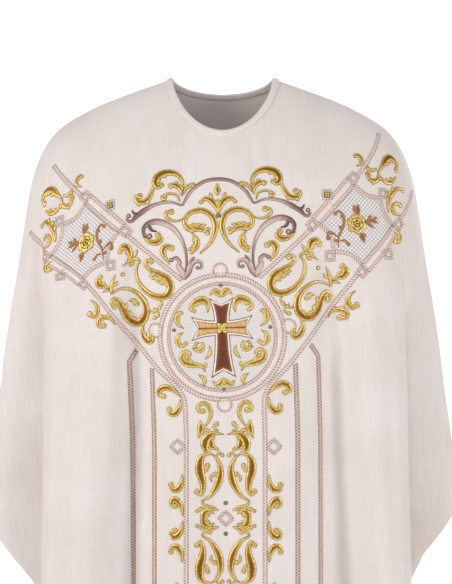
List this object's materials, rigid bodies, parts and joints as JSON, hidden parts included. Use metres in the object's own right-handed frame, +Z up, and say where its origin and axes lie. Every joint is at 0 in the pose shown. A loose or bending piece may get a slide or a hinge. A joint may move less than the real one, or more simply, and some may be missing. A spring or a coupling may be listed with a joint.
{
  "type": "chasuble",
  "caption": "Ample sleeveless vestment of light cloth, worn over the shoulders, with a round bound neck, corded column and arms, and a round panel with a cross.",
  "frame": {"origin": "middle of the neck opening, level with the points where neck and shoulder meet", "axes": "+Z up as worn, the front faces -Y, +X to the viewer's right"},
  "size_m": [0.7359, 0.3111, 1.1969],
  "materials": {
    "ivory_wool": "plain-woven, matt",
    "rose_braid": "two-row braid with a soft sheen",
    "taupe_satin": "satin stitch",
    "copper_satin": "satin stitch",
    "gold_thread": "metallic thread, satin stitch"
  },
  "bodies": {
    "root": {"front_panel": "ivory_wool", "back_panel": "ivory_wool", "neck_binding": "ivory_wool", "medallion_ring": "rose_braid", "arm_upper_braid_right": "rose_braid", "arm_upper_braid_left": "rose_braid", "arm_lower_braid_right": "rose_braid", "arm_lower_braid_left": "rose_braid", "column_middle_braid_right": "rose_braid", "column_middle_braid_left": "rose_braid", "column_outer_braid_right": "rose_braid", "column_outer_braid_left": "rose_braid", "lozenge_frame_right": "rose_braid", "lozenge_frame_left": "rose_braid", "shell_scroll_right": "taupe_satin", "shell_scroll_left": "taupe_satin", "arch_stem": "taupe_satin", "cross_arm_top": "copper_satin", "cross_arm_bottom": "copper_satin", "cross_arm_right": "gold_thread", "cross_arm_left": "gold_thread"}
  },
  "joints": []
}
